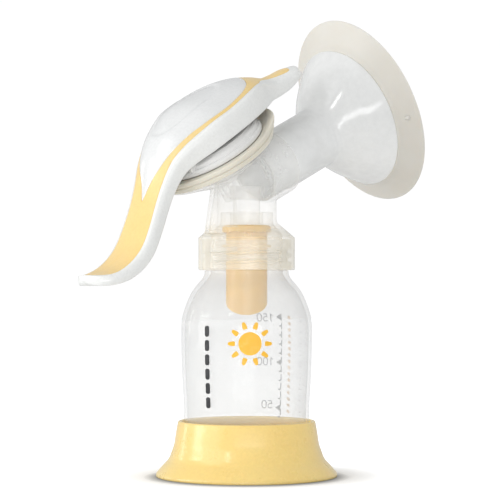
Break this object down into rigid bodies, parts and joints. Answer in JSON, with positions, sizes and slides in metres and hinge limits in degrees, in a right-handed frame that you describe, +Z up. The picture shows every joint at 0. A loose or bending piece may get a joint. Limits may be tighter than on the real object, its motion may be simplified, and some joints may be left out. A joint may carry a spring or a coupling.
{
  "type": "manual breast pump",
  "caption": "Manual breast pump: squeeze lever on a swivelling diaphragm head, oval shield with soft rim, screw-on bottle and bottle stand.",
  "frame": {"origin": "centre of the stand's underside, on the bottle's axis", "axes": "+Z up along the bottle, +X towards the breast shield, -X towards the finger end of the handle; XZ is the plane of symmetry"},
  "size_m": [0.1863, 0.0834, 0.2142],
  "materials": {
    "stand_plastic": "satin pale yellow polypropylene",
    "bottle_plastic": "clear, slightly milky polypropylene",
    "clear_plastic": "clear polypropylene",
    "valve_plastic": "translucent yellow polypropylene",
    "silicone_white": "soft white silicone",
    "silicone_rim": "soft matt elastomer",
    "silicone_cream": "cream silicone",
    "stem_plastic": "white moulded plastic",
    "o_ring_rubber": "soft ring",
    "carrier_plastic": "grey moulded plastic",
    "pin_plastic": "white moulded plastic",
    "handle_white": "satin white plastic",
    "grip_yellow": "soft yellow elastomer",
    "frame_plastic": "white moulded plastic"
  },
  "bodies": {
    "stand": {"bottle_stand": "stand_plastic"},
    "bottle": {"milk_bottle": "bottle_plastic"},
    "valve": {"valve_head": "valve_plastic"},
    "valve_flap": {"valve_membrane": "silicone_white"},
    "connector": {"connector_body": "clear_plastic", "diaphragm": "silicone_cream"},
    "shield": {"breast_shield_funnel": "clear_plastic", "shield_soft_rim": "silicone_rim"},
    "swivel": {"swivel_carrier": "carrier_plastic", "fulcrum_pin": "pin_plastic"},
    "handle": {"handle_shell": "handle_white", "handle_cover": "handle_white", "handle_grip": "grip_yellow", "handle_frame": "frame_plastic"},
    "stem": {"pull_stem": "stem_plastic", "stem_o_ring": "o_ring_rubber", "stem_cross_pin": "stem_plastic"}
  },
  "joints": [
    {"name": "bottle_lift", "type": "slide", "parent": "stand", "child": "bottle", "axis": [0, 0, 1], "range_m": [0, 0.045]},
    {"name": "collar_rise", "type": "slide", "parent": "bottle", "child": "valve", "axis": [0, 0, 1], "range_m": [0, 0.006]},
    {"name": "valve_flap_swing", "type": "hinge", "parent": "valve", "child": "valve_flap", "pos_m": [0.00579, 0.00666, 0.08521], "axis": [0.7547, -0.6561, 0], "range_deg": [0, 18]},
    {"name": "collar_turn", "type": "hinge", "parent": "valve", "child": "connector", "pos_m": [0, 0, 0.102], "axis": [0, 0, 1], "range_deg": [0, 540]},
    {"name": "shield_turn", "type": "hinge", "parent": "connector", "child": "shield", "pos_m": [0, 0, 0.1363], "axis": [0.898, 0, 0.4399], "continuous": true},
    {"name": "handle_swivel", "type": "hinge", "parent": "connector", "child": "swivel", "pos_m": [-0.0188, 0, 0.1445], "axis": [-0.5736, 0, 0.8192], "range_deg": [-90, 90]},
    {"name": "handle_squeeze", "type": "hinge", "parent": "swivel", "child": "handle", "pos_m": [-0.04432, 0, 0.14433], "axis": [0, -1, 0], "range_deg": [0, 16]},
    {"name": "stem_pull", "type": "slide", "parent": "swivel", "child": "stem", "axis": [-0.5736, 0, 0.8192], "range_m": [0, 0.0059], "deforming": ["diaphragm"]}
  ],
  "couplings": [
    {"joint": "collar_rise", "follows": "collar_turn", "m_per_rad": 0.00063662},
    {"joint": "stem_pull", "follows": "handle_squeeze", "m_per_rad": 0.021}
  ]
}
